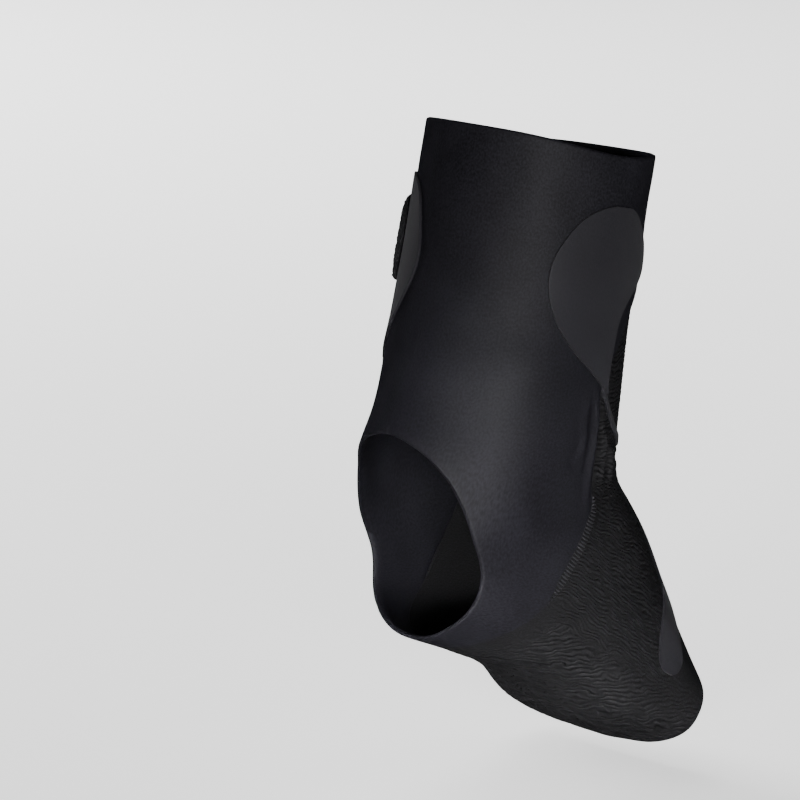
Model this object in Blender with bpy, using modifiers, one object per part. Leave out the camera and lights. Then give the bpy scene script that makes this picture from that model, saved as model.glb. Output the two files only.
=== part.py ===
"""Ankle brace for a right foot, in the form that it has when it is worn.

Every piece is a sheet of cloth that lies on one surface, the outside of the sleeve.
A point of that surface is named by two shares.
u runs from the top edge, 0, to the toe edge, 1.
v runs from the front line, 0, round to the back, 1 by the outer side, -1 by the inner side.
Frame: origin at the centre of the ankle, +X to the toes, +Y to the inner side, +Z up.
"""
import bmesh
import bpy
import numpy as np

OBJECT_NAME = "ankle_brace"

# Sizes in metres.
FOOT_REACH = 0.0805       # ankle centre to the front of the toe edge
BRACE_HEIGHT = 0.2414     # top edge at the back down to the sole at the toe edge
HALF_WIDTH = 0.0460       # middle plane to the outer side of the toe edge
SHELL_WALL = 0.0020       # smooth stretch cloth
KNIT_WALL = 0.0022        # ribbed knit
TAB_WALL = 0.0012         # film of the tabs and straps
PAD_WALL = 0.0030         # textured pad on the inner tab
SEAM_WALL = 0.0006        # tape of the ladder seams
SEAM_WIDTH = 0.0032
STRAP_WIDTH = 0.0040
INSTEP_TAB_WIDTH = 0.0130
LAYER_GAP = 0.0004        # clear space between stacked layers
EDGE_GAP = 0.0004         # clear space between neighbours in one layer

# One row per section of the sleeve, from the top edge to the toe edge.
# at: share u.  x columns: share of FOOT_REACH.  z columns: share of BRACE_HEIGHT.
# widest: share of the way from front to back where the section is widest.
# outer, inner: half widths as shares of HALF_WIDTH.
# round: 2 makes that half an ellipse, more makes it squarer.
# at, front x, front z, back x, back z, widest, outer, inner, front round, back round
SECTIONS = (
    (0.00, 0.870, 0.491, -0.194, 0.567, 0.50, 0.913, 0.913, 2.0, 2.0),
    (0.13, 0.795, 0.367, -0.273, 0.443, 0.50, 0.913, 0.913, 2.0, 2.0),
    (0.26, 0.739, 0.244, -0.360, 0.323, 0.50, 0.898, 0.898, 2.0, 2.0),
    (0.38, 0.694, 0.129, -0.457, 0.211, 0.49, 0.891, 0.891, 2.0, 2.0),
    (0.46, 0.675, 0.058, -0.540, 0.134, 0.47, 0.880, 0.880, 2.0, 2.0),
    (0.53, 0.680, 0.025, -0.680, 0.050, 0.44, 0.859, 0.859, 2.0, 2.0),
    (0.59, 0.708, 0.000, -0.820, -0.075, 0.42, 0.826, 0.826, 2.0, 2.0),
    (0.65, 0.752, -0.024, -0.720, -0.174, 0.43, 0.804, 0.804, 2.0, 2.0),
    (0.71, 0.801, -0.050, -0.509, -0.213, 0.48, 0.793, 0.793, 2.0, 2.1),
    (0.78, 0.853, -0.087, -0.183, -0.257, 0.54, 0.804, 0.815, 2.0, 2.3),
    (0.86, 0.908, -0.149, 0.180, -0.313, 0.60, 0.848, 0.880, 2.0, 2.6),
    (0.93, 0.955, -0.211, 0.422, -0.384, 0.62, 0.913, 0.957, 2.0, 2.7),
    (1.00, 1.000, -0.278, 0.720, -0.433, 0.58, 1.000, 0.967, 1.9, 2.7),
)

# The lower edge of the smooth cuff, where it lies over the knit: v, u.
CUFF_LINE = (
    (0.00, 0.190), (0.12, 0.197), (0.20, 0.212), (0.28, 0.252),
    (0.34, 0.305), (0.38, 0.345), (0.40, 0.380),
)
# The upper edge of the heel hole: v, u.
HOLE_LINE = ((0.80, 0.531), (0.86, 0.511), (0.92, 0.498), (0.96, 0.492), (1.00, 0.490))

# One row per line across the front and a flank, from the cuff down to the sole.
# front u: where the line leaves the front line.
# seam u, seam v: where it crosses the seam between knit and shell.
# hole u, hole v: where it meets the edge of the heel hole.
FLANKS = (
    (0.370, 0.380, 0.400, 0.531, 0.800),
    (0.400, 0.412, 0.402, 0.539, 0.778),
    (0.430, 0.446, 0.400, 0.548, 0.757),
    (0.458, 0.480, 0.392, 0.558, 0.735),
    (0.483, 0.503, 0.383, 0.568, 0.717),
    (0.505, 0.524, 0.376, 0.578, 0.703),
    (0.528, 0.546, 0.364, 0.589, 0.692),
    (0.555, 0.572, 0.346, 0.600, 0.685),
    (0.588, 0.600, 0.341, 0.613, 0.682),
    (0.622, 0.632, 0.382, 0.630, 0.688),
    (0.660, 0.667, 0.446, 0.652, 0.716),
    (0.700, 0.700, 0.520, 0.677, 0.767),
    (0.740, 0.726, 0.602, 0.698, 0.828),
)
# The same across the strip of shell under the heel hole; the knit goes on below it.
HEEL_STRIP = (
    (0.726, 0.602, 0.698, 0.828),
    (0.739, 0.690, 0.711, 0.890),
    (0.745, 0.790, 0.719, 0.943),
    (0.748, 0.895, 0.723, 0.980),
    (0.749, 1.000, 0.724, 1.000),
)
SEAM_FROM = 7.0           # row of FLANKS where a ladder seam starts
SEAM_TO = 12.0            # and where it ends

# Outlines of pieces that lie on the cuff: u, v of one long edge, v of the other.
OUTER_TAB = (
    (0.091, 0.385, 0.465), (0.097, 0.350, 0.510), (0.108, 0.320, 0.550),
    (0.125, 0.285, 0.585), (0.150, 0.245, 0.615), (0.180, 0.235, 0.640),
    (0.210, 0.290, 0.650), (0.240, 0.345, 0.645), (0.270, 0.378, 0.625),
    (0.300, 0.388, 0.590), (0.330, 0.392, 0.535), (0.355, 0.392, 0.468),
    (0.373, 0.388, 0.424), (0.386, 0.380, 0.400),
)
INNER_TAB = (
    (0.088, -0.760, -0.700), (0.094, -0.810, -0.660), (0.105, -0.865, -0.625),
    (0.125, -0.900, -0.585), (0.150, -0.922, -0.550), (0.180, -0.940, -0.530),
    (0.210, -0.950, -0.525), (0.240, -0.945, -0.545), (0.270, -0.925, -0.580),
    (0.300, -0.893, -0.620), (0.330, -0.845, -0.655), (0.355, -0.795, -0.680),
    (0.375, -0.750, -0.695), (0.390, -0.728, -0.705),
)
INNER_PAD = (
    (0.125, -0.735, -0.690), (0.136, -0.765, -0.650), (0.156, -0.778, -0.620),
    (0.185, -0.782, -0.605), (0.215, -0.782, -0.605), (0.240, -0.775, -0.620),
    (0.258, -0.755, -0.650), (0.266, -0.725, -0.685),
)

# Middle lines of bands: u, v, width as a share of STRAP_WIDTH.
# A strap's last point stops beside the arm of the instep tab.
OUTER_STRAP = (
    (0.391, 0.384, 0.70), (0.408, 0.352, 0.75), (0.424, 0.318, 0.85),
    (0.443, 0.276, 0.95), (0.460, 0.215, 1.00), (0.478, 0.130, 1.00),
    (0.490, 0.070, 1.00), (0.496, 0.024, 1.00),
)
INNER_STRAP = (
    (0.396, -0.712, 0.70), (0.414, -0.660, 0.80), (0.430, -0.580, 0.95),
    (0.445, -0.480, 1.00), (0.456, -0.380, 1.00), (0.467, -0.280, 1.00),
    (0.479, -0.170, 1.00), (0.490, -0.075, 1.00), (0.496, -0.024, 1.00),
)
# Here the share goes from STRAP_WIDTH, 0, to INSTEP_TAB_WIDTH, 1.
INSTEP_TAB = (
    (0.490, 0.000, 0.00), (0.540, 0.000, 0.00), (0.600, 0.006, 0.00),
    (0.660, 0.016, 0.00), (0.720, 0.032, 0.00), (0.780, 0.062, 0.00),
    (0.830, 0.115, 0.00), (0.863, 0.185, 0.00), (0.878, 0.235, 0.18),
    (0.892, 0.290, 0.50), (0.905, 0.350, 0.86), (0.917, 0.405, 1.00),
    (0.926, 0.450, 0.82), (0.932, 0.482, 0.25),
)

# Numbers of cells.
FRONT_CELLS = 12          # from the front line to the seam
FLANK_CELLS = 8           # from the seam to the heel hole
BACK_CELLS = 4            # from there to the back line, over the hole
CUFF_CELLS = 13
ARCH_CELLS = 7
TOE_CELLS = 10


def through(xs, ys, x):
    """Smooth curve through the values of a table."""
    xs, ys, x = (np.asarray(a, float) for a in (xs, ys, x))
    gaps = np.diff(xs)
    slopes = np.diff(ys) / gaps
    lean = np.zeros(len(xs))
    lean[1:-1] = (slopes[:-1] * gaps[1:] + slopes[1:] * gaps[:-1]) / (xs[2:] - xs[:-2])
    lean[0] = 1.5 * slopes[0] - 0.5 * lean[1]
    lean[-1] = 1.5 * slopes[-1] - 0.5 * lean[-2]
    i = np.clip(np.searchsorted(xs, x) - 1, 0, len(xs) - 2)
    h = gaps[i]
    t = (x - xs[i]) / h
    s = 1.0 - t
    ends = (1 + 2 * t) * s * s * ys[i] + t * t * (3 - 2 * t) * ys[i + 1]
    return ends + t * s * h * (s * lean[i] - t * lean[i + 1])


def along_rows(rows, column, t):
    """A column of a table, read at row number t."""
    return through(range(len(rows)), [row[column] for row in rows], t)


def at_angle(u, angle):
    """Point of the sleeve's outside: angle 0 at the front, pi at the back."""
    at = [row[0] for row in SECTIONS]
    column = [through(at, [row[k] for row in SECTIONS], u) for k in range(1, 10)]
    front_x, front_z, back_x, back_z, widest, outer, inner, front_n, back_n = column
    c, s = np.cos(angle), np.sin(angle)
    power = np.where(c > 0, front_n, back_n)
    reach = (np.abs(c) ** power + np.abs(s) ** power) ** (-1.0 / power)
    c, s = c * reach, s * reach
    mid_x = front_x + (back_x - front_x) * widest
    mid_z = front_z + (back_z - front_z) * widest
    x = mid_x + c * np.where(c > 0, front_x - mid_x, mid_x - back_x)
    z = mid_z + c * np.where(c > 0, front_z - mid_z, mid_z - back_z)
    y = -s * np.where(s > 0, outer, inner)
    return np.stack([x * FOOT_REACH, y * HALF_WIDTH, z * BRACE_HEIGHT], -1)


def skin(u, v):
    """Point of the sleeve's outside at the shares u, v."""
    u, v = np.broadcast_arrays(np.asarray(u, float), np.asarray(v, float))
    shape = u.shape
    u, v = u.ravel(), (v.ravel() + 1.0) % 2.0 - 1.0
    side = np.where(v < 0, -1.0, 1.0)
    angles = np.linspace(0.0, np.pi, 49)
    ring = at_angle(u[:, None], angles * side[:, None])
    steps = np.linalg.norm(np.diff(ring, axis=1), axis=2)
    run = np.concatenate([np.zeros((len(u), 1)), np.cumsum(steps, axis=1)], axis=1)
    want = np.abs(v) * run[:, -1]
    angle = np.array([np.interp(w, r, angles) for w, r in zip(want, run)])
    return at_angle(u, angle * side).reshape(shape + (3,))


def on_skin(u, v):
    """Points and outward normals at the shares u, v."""
    step = 0.002
    u, v = np.broadcast_arrays(np.asarray(u, float), np.asarray(v, float))
    down = skin(u + step, v) - skin(u - step, v)
    around = skin(u, v + step) - skin(u, v - step)
    normal = np.cross(around, down)
    return skin(u, v), normal / np.linalg.norm(normal, axis=-1, keepdims=True)


def new_collection(name):
    collection = bpy.data.collections.new(name)
    bpy.context.scene.collection.children.link(collection)
    return collection


def new_material(name, colour, roughness):
    material = bpy.data.materials.new(name)
    material.use_nodes = True
    shader = material.node_tree.nodes["Principled BSDF"]
    shader.inputs["Base Color"].default_value = (*colour, 1.0)
    shader.inputs["Roughness"].default_value = roughness
    return material


def weld(name, sheets, lift):
    """One open mesh from sheets of points, lifted off the skin and joined at their borders."""
    bm = bmesh.new()
    for points, normals in sheets:
        rows, columns = points.shape[:2]
        raised = points + normals * lift
        grid = [[bm.verts.new(raised[i, j]) for j in range(columns)] for i in range(rows)]
        for i in range(rows - 1):
            for j in range(columns - 1):
                corners = (grid[i][j], grid[i + 1][j], grid[i + 1][j + 1], grid[i][j + 1])
                face = bm.faces.new(corners)
                face.normal_update()
                if face.normal.dot(normals[i, j] + normals[i + 1, j + 1]) < 0:
                    face.normal_flip()
    bmesh.ops.remove_doubles(bm, verts=bm.verts[:], dist=0.00002)
    mesh = bpy.data.meshes.new(name)
    bm.to_mesh(mesh)
    bm.free()
    return mesh


def cloth(name, sheets, lift, wall, collection, material):
    """A cloth piece: its sheets lie above the skin by lift and a wall, made solid inward."""
    mesh = weld(name, sheets, lift + wall)
    mesh.shade_smooth()
    mesh.materials.append(material)
    obj = bpy.data.objects.new(name, mesh)
    collection.objects.link(obj)
    solid = obj.modifiers.new("wall", "SOLIDIFY")
    solid.thickness = wall
    solid.offset = -1.0
    solid.use_quality_normals = True
    return obj


def edge_dip(v):
    """How far the top edge dips at the sides, as a share u."""
    return 0.013 * np.exp(-((np.abs(v) - 0.48) / 0.20) ** 2)


def toe_line(v):
    """The toe edge, cut back over the top of the foot."""
    rise = np.clip((np.abs(v) - 0.22) / 0.22, 0.0, 1.0)
    return 0.968 + 0.032 * rise * rise * (3 - 2 * rise)


def read(rows, v):
    """Value of a two-column table at v."""
    return through([row[0] for row in rows], [row[1] for row in rows], v)


def cuff_line(v):
    """The curve of the cuff over the knit."""
    return read(CUFF_LINE, np.abs(v))


def border():
    """The seam between shell and knit, once round: points, normals, way to the shell."""
    seam = [(row[1], row[2]) for row in FLANKS[1:]] + [row[:2] for row in HEEL_STRIP[1:]]
    reach = CUFF_LINE[-1][0]
    front_v = np.linspace(-reach, reach, 2 * FRONT_CELLS + 1)
    u = [a for a, _ in seam[::-1]] + list(cuff_line(front_v)) + [a for a, _ in seam[:-1]]
    v = [-b for _, b in seam[::-1]] + list(front_v) + [b for _, b in seam[:-1]]
    points, normals = on_skin(u, v)
    ahead = np.roll(points, -1, axis=0) - np.roll(points, 1, axis=0)
    way = np.cross(normals, ahead)
    way /= np.linalg.norm(way, axis=1, keepdims=True)
    if way[len(seam) + FRONT_CELLS][2] < 0:
        way = -way
    return points, normals, way


def border_parts(shift):
    """The border moved by shift: its inner flank, inner strip, front, outer flank and strip."""
    points, normals, way = border()
    points = points + way * shift
    loop = list(range(len(points))) + [0]
    strip, flank = len(HEEL_STRIP) - 1, len(FLANKS) - 1
    front = strip + flank + 2 * FRONT_CELLS
    cuts = {
        "inner_strip": loop[:strip + 1][::-1],
        "inner_flank": loop[strip:strip + flank + 1][::-1],
        "front": loop[strip + flank:front + 1],
        "outer_flank": loop[front:front + flank + 1],
        "outer_strip": loop[front + flank:],
    }
    return {name: (points[ids], normals[ids]) for name, ids in cuts.items()}


def between(first, last, count):
    """Rows of values from one line to another."""
    share = np.linspace(0.0, 1.0, count + 1)[:, None]
    return np.asarray(first) * (1 - share) + np.asarray(last) * share


def cuff_sheet():
    """From the top edge down to the cuff line, the flanks and the heel hole."""
    reach, corner = CUFF_LINE[-1][0], HOLE_LINE[0][0]
    front = np.linspace(0.0, reach, FRONT_CELLS + 1)
    back = np.linspace(corner, 1.0, BACK_CELLS + 1)
    side_v = np.linspace(reach, corner, FLANK_CELLS + 1)
    side_u = np.linspace(CUFF_LINE[-1][1], HOLE_LINE[0][1], FLANK_CELLS + 1)
    v = np.concatenate([front, side_v[1:], back[1:]])
    low = np.concatenate([cuff_line(front), side_u[1:], read(HOLE_LINE, back[1:])])
    v = np.concatenate([-v[:0:-1], v])
    low = np.concatenate([low[:0:-1], low])
    points, normals = on_skin(between(edge_dip(v), low, CUFF_CELLS), v)
    first = FLANK_CELLS + BACK_CELLS
    last = first + 2 * FRONT_CELLS + 1
    points[-1, first:last], normals[-1, first:last] = border_parts(EDGE_GAP / 2)["front"]
    return points, normals


def shell_sheet(rows, side, part):
    """Shell between the seam and the heel hole, on one side."""
    seam_u, seam_v, hole_u, hole_v = np.array(rows).T
    u = between(seam_u, hole_u, FLANK_CELLS).T
    v = between(seam_v, hole_v, FLANK_CELLS).T
    points, normals = on_skin(u, v * side)
    points[:, 0], normals[:, 0] = border_parts(EDGE_GAP / 2)[part]
    return points, normals


def build_shell(collection, material):
    """The smooth cuff, the back and both flanks, round the heel hole."""
    flank = [row[1:] for row in FLANKS]
    sheets = [cuff_sheet()]
    for name, side in (("inner", -1), ("outer", 1)):
        sheets.append(shell_sheet(flank, side, name + "_flank"))
        sheets.append(shell_sheet(HEEL_STRIP, side, name + "_strip"))
    return cloth("sleeve_shell", sheets, -SHELL_WALL, SHELL_WALL, collection, material)


def arch_sheet():
    """Knit from the cuff line down to the first line across the flanks."""
    reach = CUFF_LINE[-1][0]
    v = np.linspace(-reach, reach, 2 * FRONT_CELLS + 1)
    across = np.abs(v) / reach
    low = FLANKS[0][0] * (1 - across) + FLANKS[0][1] * across
    points, normals = on_skin(between(cuff_line(v), low, ARCH_CELLS), v)
    points[0], normals[0] = border_parts(-EDGE_GAP / 2)["front"]
    for column in (0, -1):
        points[:, column] = points[0, column]
        normals[:, column] = normals[0, column]
    return points, normals


def knit_sheet():
    """Knit from seam to seam, over the front of the ankle and the instep."""
    front_u, seam_u, seam_v = np.array([row[:3] for row in FLANKS]).T
    share = np.linspace(-1.0, 1.0, 2 * FRONT_CELLS + 1)
    across = np.abs(share)
    u = np.outer(front_u, 1 - across) + np.outer(seam_u, across)
    points, normals = on_skin(u, np.outer(seam_v, share))
    parts = border_parts(-EDGE_GAP / 2)
    points[:, 0], normals[:, 0] = parts["inner_flank"]
    points[:, -1], normals[:, -1] = parts["outer_flank"]
    return points, normals


def toe_sheet():
    """Knit all round the foot, down to the toe edge."""
    front_u, seam_u, seam_v = FLANKS[-1][:3]
    share = np.linspace(0.0, 1.0, FRONT_CELLS + 1)
    strip_u, strip_v = np.array(HEEL_STRIP)[1:, :2].T
    high = np.concatenate([front_u + (seam_u - front_u) * share, strip_u])
    v = np.concatenate([seam_v * share, strip_v])
    v = np.concatenate([-v[:0:-1], v])
    high = np.concatenate([high[:0:-1], high])
    points, normals = on_skin(between(high, toe_line(v), TOE_CELLS), v)
    parts = border_parts(-EDGE_GAP / 2)
    count = len(HEEL_STRIP)
    inner, outer = parts["inner_strip"], parts["outer_strip"]
    points[0, :count], normals[0, :count] = inner[0][::-1], inner[1][::-1]
    points[0, -count:], normals[0, -count:] = outer
    return points, normals


def build_knit(collection, material):
    """The ribbed knit over the ankle front, the instep and the sole."""
    sheets = [arch_sheet(), knit_sheet(), toe_sheet()]
    return cloth("ribbed_front", sheets, -KNIT_WALL, KNIT_WALL, collection, material)


def patch_sheet(rows, along, across):
    """A piece that lies on the cuff, between its front and back edges."""
    t = np.linspace(0.0, len(rows) - 1.0, along + 1)[:, None]
    share = np.linspace(0.0, 1.0, across + 1)
    u = along_rows(rows, 0, t) + 0 * share
    v = along_rows(rows, 1, t) * (1 - share) + along_rows(rows, 2, t) * share
    return on_skin(u, v)


def band_sheet(u, v, width, across):
    """A band along a line on the skin, with its own width at each point."""
    step = 0.002
    points, normals = on_skin(u, v)
    ahead = np.gradient(points, axis=0)
    way = np.cross(normals, ahead)
    way *= (width / 2)[:, None] / np.linalg.norm(way, axis=1, keepdims=True)
    down = (skin(u + step, v) - skin(u - step, v)) / (2 * step)
    around = (skin(u, v + step) - skin(u, v - step)) / (2 * step)
    dd, aa, da = ((p * q).sum(axis=1) for p, q in ((down, down), (around, around), (down, around)))
    wd, wa = (way * down).sum(axis=1), (way * around).sum(axis=1)
    du = (wd * aa - wa * da) / (dd * aa - da * da)
    dv = (wa * dd - wd * da) / (dd * aa - da * da)
    share = np.linspace(-1.0, 1.0, across + 1)
    return on_skin(u[:, None] + du[:, None] * share, v[:, None] + dv[:, None] * share)


def table_band(rows, along, narrow, wide):
    """A band from a table, its width going from narrow to wide by the third column."""
    t = np.linspace(0.0, len(rows) - 1.0, along + 1)
    u, v, share = (along_rows(rows, column, t) for column in range(3))
    return band_sheet(u, v, narrow + (wide - narrow) * share, 2)


def beside_arm(rows):
    """A strap's rows, with the last point set clear of the arm of the instep tab."""
    u, v, share = rows[-1]
    half_girth = np.linalg.norm(np.diff(skin(u, np.linspace(0, 1, 60)), axis=0), axis=1).sum()
    clear = (STRAP_WIDTH / 2 + 1.5 * EDGE_GAP) / half_girth
    return rows[:-1] + ((u, np.sign(v) * clear, share),)


def build_outer_tab(collection, material):
    """The teardrop tab on the outer side of the cuff."""
    cloth("outer_tab", [patch_sheet(OUTER_TAB, 22, 9)], LAYER_GAP, TAB_WALL, collection, material)


def build_inner_tab(collection, material):
    """The teardrop tab on the inner side, set further back."""
    cloth("inner_tab", [patch_sheet(INNER_TAB, 22, 9)], LAYER_GAP, TAB_WALL, collection, material)


def build_inner_pad(collection, material):
    """The textured pad that stands out on the inner tab."""
    lift = 2 * LAYER_GAP + TAB_WALL
    cloth("inner_pad", [patch_sheet(INNER_PAD, 8, 5)], lift, PAD_WALL, collection, material)


def build_outer_strap(collection, material):
    """The narrow band from the tip of the outer tab to the front of the ankle."""
    sheet = table_band(beside_arm(OUTER_STRAP), 14, 0.0, STRAP_WIDTH)
    cloth("outer_strap", [sheet], LAYER_GAP, TAB_WALL, collection, material)


def build_inner_strap(collection, material):
    """The same from the tip of the inner tab."""
    sheet = table_band(beside_arm(INNER_STRAP), 20, 0.0, STRAP_WIDTH)
    cloth("inner_strap", [sheet], LAYER_GAP, TAB_WALL, collection, material)


def build_instep_tab(collection, material):
    """The arm down the instep, with the lozenge tab at its end."""
    sheet = table_band(INSTEP_TAB, 30, STRAP_WIDTH, INSTEP_TAB_WIDTH)
    cloth("instep_tab", [sheet], LAYER_GAP, TAB_WALL, collection, material)


def build_seam(name, side, collection, material):
    """A ladder seam, over the joint of shell and knit."""
    steps = np.linspace(SEAM_FROM, SEAM_TO, 17)
    u, v = along_rows(FLANKS, 1, steps), along_rows(FLANKS, 2, steps)
    sheet = band_sheet(u, v * side, SEAM_WIDTH + 0 * u, 2)
    cloth(name, [sheet], LAYER_GAP, SEAM_WALL, collection, material)


def main():
    for obj in list(bpy.data.objects):
        bpy.data.objects.remove(obj, do_unlink=True)
    parts = new_collection(OBJECT_NAME)
    film = (0.034, 0.033, 0.038)
    thread = (0.022, 0.022, 0.026)
    build_shell(parts, new_material("shell_cloth", (0.030, 0.030, 0.036), 0.85))
    build_knit(parts, new_material("rib_knit", (0.014, 0.014, 0.016), 0.92))
    build_outer_tab(parts, new_material("outer_tab_film", film, 0.60))
    build_inner_tab(parts, new_material("inner_tab_film", film, 0.60))
    build_inner_pad(parts, new_material("pad_texture", (0.012, 0.012, 0.013), 0.95))
    build_outer_strap(parts, new_material("outer_strap_film", film, 0.60))
    build_inner_strap(parts, new_material("inner_strap_film", film, 0.60))
    build_instep_tab(parts, new_material("instep_tab_film", film, 0.60))
    build_seam("outer_seam", 1, parts, new_material("outer_seam_thread", thread, 0.80))
    build_seam("inner_seam", -1, parts, new_material("inner_seam_thread", thread, 0.80))


main()
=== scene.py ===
# %% [markdown]
# # A slip-on ankle brace, in cloth
# The brace is a sleeve of stretch cloth for a right foot.
# It is open at the leg, at the heel and at the toes.
# It is modelled in the form that it has when worn.
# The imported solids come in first, because every cloth piece here takes the place of one of them.

import bmesh
import bpy
import numpy as np
from mathutils import Matrix, Vector, kdtree


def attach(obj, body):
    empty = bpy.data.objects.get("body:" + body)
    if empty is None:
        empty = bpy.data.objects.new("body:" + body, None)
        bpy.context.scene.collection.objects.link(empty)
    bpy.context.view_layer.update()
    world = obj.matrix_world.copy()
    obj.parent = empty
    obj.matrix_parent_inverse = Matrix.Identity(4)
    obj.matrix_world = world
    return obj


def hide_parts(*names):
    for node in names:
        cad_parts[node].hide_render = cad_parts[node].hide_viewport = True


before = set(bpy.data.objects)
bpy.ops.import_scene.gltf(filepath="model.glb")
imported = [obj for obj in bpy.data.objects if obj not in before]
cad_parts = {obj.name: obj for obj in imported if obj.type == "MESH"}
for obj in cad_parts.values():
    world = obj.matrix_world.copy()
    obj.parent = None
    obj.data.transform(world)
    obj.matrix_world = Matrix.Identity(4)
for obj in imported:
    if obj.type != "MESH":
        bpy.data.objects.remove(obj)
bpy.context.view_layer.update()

print("nodes:", sorted(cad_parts))

# %% [markdown]
# ## Camera, floor and light
# The brace was seen from its outer side, a little from behind and from just above.
# A long lens far away keeps the leg's two sides nearly parallel.
# A large soft lamp near the camera gives the broad highlight down the leg.
# A small low lamp lights the foot.
# Three more lamps stand behind, so that the front and the inner side aren't lost in the dark.
# The cloth is nearly black, so the sky, the floor and the rear lamps aren't mirrored in it.

# %% Camera
VIEW_AZIMUTH, VIEW_ELEVATION = np.radians(-40.0), np.radians(10.5)
VIEW_DISTANCE = 2.2
LENS = 267.3
AIM = Vector((-0.0205, 0.0245, 0.0302))


def way_to(azimuth, elevation):
    """Unit vector from the brace to a place round it."""
    flat = np.cos(elevation)
    return Vector((np.sin(azimuth) * flat, -np.cos(azimuth) * flat, np.sin(elevation)))


back = way_to(VIEW_AZIMUTH, VIEW_ELEVATION)
bpy.ops.object.select_all(action="DESELECT")
bpy.ops.object.camera_add(location=AIM + back * VIEW_DISTANCE)
camera = bpy.context.object
camera.name = "camera"
camera.rotation_euler = back.to_track_quat("Z", "Y").to_euler()
camera.data.lens = LENS
camera.data.sensor_width = 36.0
camera.data.clip_end = 50.0
bpy.context.scene.camera = camera
print("camera at", [round(c, 3) for c in camera.location])

# %% Floor and lamps
FLOOR_HEIGHT = -0.1085
FLOOR_GLOW = 0.8
SKY_STRENGTH = 0.16


def new_material(name, colour, roughness):
    """A Principled material, with its shader and node tree."""
    material = bpy.data.materials.new(name)
    material.use_nodes = True
    shader = material.node_tree.nodes["Principled BSDF"]
    shader.inputs["Base Color"].default_value = (*colour, 1.0)
    shader.inputs["Roughness"].default_value = roughness
    return material, material.node_tree, shader


bpy.ops.mesh.primitive_plane_add(size=14.0, location=(0, 0, FLOOR_HEIGHT))
floor = bpy.context.object
floor.name = "studio_floor"
pale, _, pale_shader = new_material("pale_floor", (0.86, 0.86, 0.86), 0.8)
pale_shader.inputs["Emission Strength"].default_value = FLOOR_GLOW
floor.data.materials.append(pale)

world = bpy.data.worlds.new("studio")
world.use_nodes = True
sky = world.node_tree.nodes["Background"]
sky.inputs["Color"].default_value = (1.0, 1.0, 1.0, 1.0)
sky.inputs["Strength"].default_value = SKY_STRENGTH
bpy.context.scene.world = world


def add_lamp(name, azimuth, elevation, distance, size, power, aim=(0.0, 0.0, 0.0)):
    """A square soft lamp that looks at a place on the brace."""
    way = way_to(np.radians(azimuth), np.radians(elevation))
    bpy.ops.object.light_add(type="AREA", location=Vector(aim) + way * distance)
    lamp = bpy.context.object
    lamp.name = name
    lamp.rotation_euler = way.to_track_quat("Z", "Y").to_euler()
    lamp.data.size = size
    lamp.data.energy = power
    return lamp


add_lamp("key_lamp", -29.0, 2.0, 2.7, 0.8, 160.0)
low_lamp = add_lamp("low_lamp", -56.0, 1.0, 0.9, 0.08, 0.36, (0.010, 0.0, -0.065))
low_lamp.data.spread = np.radians(20.0)
top_lamp = add_lamp("top_lamp", 160.0, 42.0, 3.0, 2.0, 70.0)
front_lamp = add_lamp("front_lamp", 85.0, 6.0, 3.0, 1.6, 40.0)
inner_lamp = add_lamp("inner_lamp", 178.0, 8.0, 3.0, 1.6, 190.0)
for unseen in (top_lamp, front_lamp, inner_lamp, floor):
    unseen.visible_glossy = False
world.cycles_visibility.glossy = False
print("floor at", FLOOR_HEIGHT)

# %% [markdown]
# ## The form under the cloth
# A sleeve on a foot is a bent tube, so its outside is named by two shares.
# u runs from the top edge, 0, to the toe edge, 1.
# v runs from the front line, 0, round to the back, 1 by the outer side and -1 by the inner side.
# Each section is two half ellipses or squarer halves, and a smooth curve joins the sections.

# %% Sections of the sleeve
FOOT_REACH = 0.0805
BRACE_HEIGHT = 0.2414
HALF_WIDTH = 0.0460

# at, front x, front z, back x, back z, widest, outer, inner, front round, back round
SECTIONS = np.array((
    (0.00, 0.870, 0.491, -0.194, 0.567, 0.50, 0.913, 0.913, 2.0, 2.0),
    (0.13, 0.795, 0.367, -0.273, 0.443, 0.50, 0.913, 0.913, 2.0, 2.0),
    (0.26, 0.739, 0.244, -0.360, 0.323, 0.50, 0.898, 0.898, 2.0, 2.0),
    (0.38, 0.694, 0.129, -0.457, 0.211, 0.49, 0.891, 0.891, 2.0, 2.0),
    (0.46, 0.675, 0.058, -0.540, 0.134, 0.47, 0.880, 0.880, 2.0, 2.0),
    (0.53, 0.680, 0.025, -0.680, 0.050, 0.44, 0.859, 0.859, 2.0, 2.0),
    (0.59, 0.708, 0.000, -0.820, -0.075, 0.42, 0.826, 0.826, 2.0, 2.0),
    (0.65, 0.752, -0.024, -0.720, -0.174, 0.43, 0.804, 0.804, 2.0, 2.0),
    (0.71, 0.801, -0.050, -0.509, -0.213, 0.48, 0.793, 0.793, 2.0, 2.1),
    (0.78, 0.853, -0.087, -0.183, -0.257, 0.54, 0.804, 0.815, 2.0, 2.3),
    (0.86, 0.908, -0.149, 0.180, -0.313, 0.60, 0.848, 0.880, 2.0, 2.6),
    (0.93, 0.955, -0.211, 0.422, -0.384, 0.62, 0.913, 0.957, 2.0, 2.7),
    (1.00, 1.000, -0.278, 0.720, -0.433, 0.58, 1.000, 0.967, 1.9, 2.7),
))


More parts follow.
